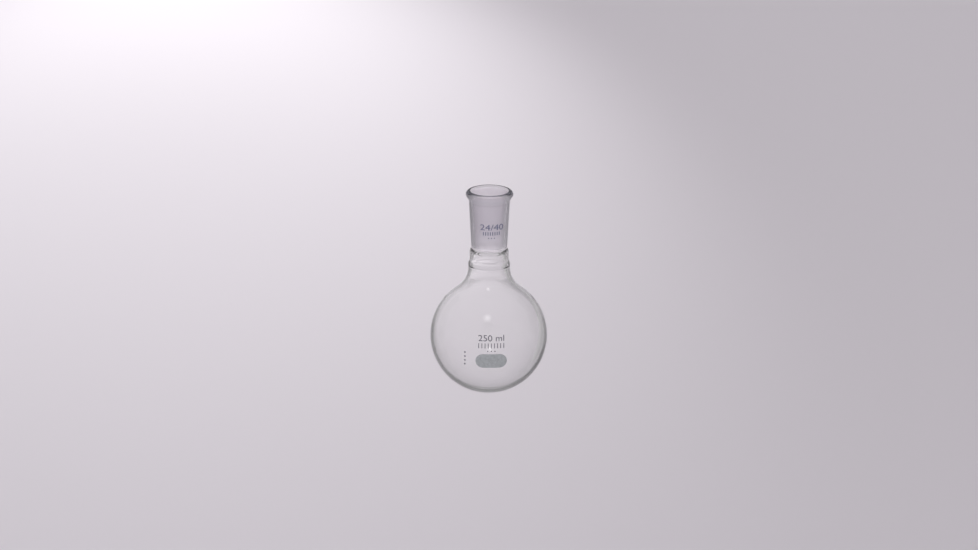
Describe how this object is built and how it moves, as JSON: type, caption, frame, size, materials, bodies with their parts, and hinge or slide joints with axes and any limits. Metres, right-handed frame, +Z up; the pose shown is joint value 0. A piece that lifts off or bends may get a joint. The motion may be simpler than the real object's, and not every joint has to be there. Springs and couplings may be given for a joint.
{
  "type": "round bottom flask",
  "caption": "Round bottom boiling flask of clear glass with a short neck, a fused seal ring, a tapered ground joint and a beaded mouth.",
  "frame": {"origin": "lowest point of the bulb, on the flask's axis", "axes": "+Z up along the axis, out of the mouth; the printed marks face -Y"},
  "size_m": [0.085, 0.0851, 0.152],
  "materials": {
    "clear_glass": "clear, fire-polished borosilicate glass",
    "ground_glass": "clear outside, finely ground and frosted inside",
    "enamel_spot": "matt grey-green fired enamel that takes pencil",
    "enamel_print": "grey fired enamel print"
  },
  "bodies": {
    "root": {"bulb": "clear_glass", "seal_ring": "clear_glass", "neck_tube": "clear_glass", "ground_socket": "ground_glass", "mouth_bead": "clear_glass", "writing_spot": "enamel_spot", "side_marks": "enamel_print"}
  },
  "joints": []
}
